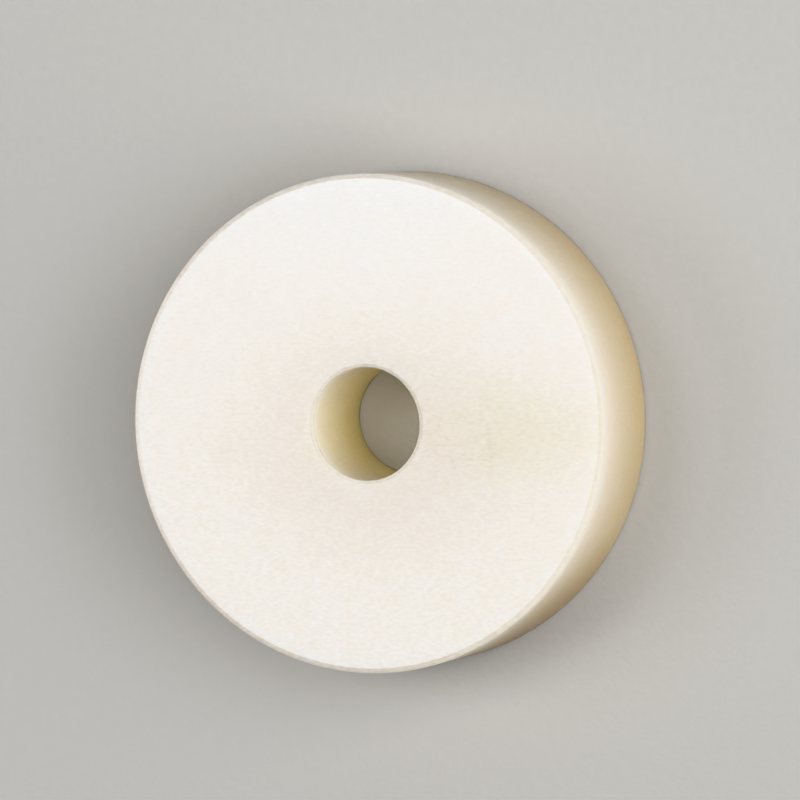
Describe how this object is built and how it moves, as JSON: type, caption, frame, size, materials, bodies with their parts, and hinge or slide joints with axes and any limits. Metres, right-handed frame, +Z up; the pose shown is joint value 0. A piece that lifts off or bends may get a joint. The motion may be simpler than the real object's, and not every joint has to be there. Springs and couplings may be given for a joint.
{
  "type": "jade bi disc",
  "caption": "Thick round disc of polished white jade with a small round hole bored through its middle, lying flat on one face.",
  "frame": {"origin": "middle of the underside, on the axis of the bore", "axes": "+Z up along the axis of the disc and its bore; +X and +Y are any two directions across the round disc, +X towards the side whose wall the picture shows and +Y towards the picture's top"},
  "size_m": [0.055, 0.055, 0.015],
  "materials": {
    "white_jade": "polished"
  },
  "bodies": {
    "root": {"jade_disc": "white_jade"}
  },
  "joints": []
}
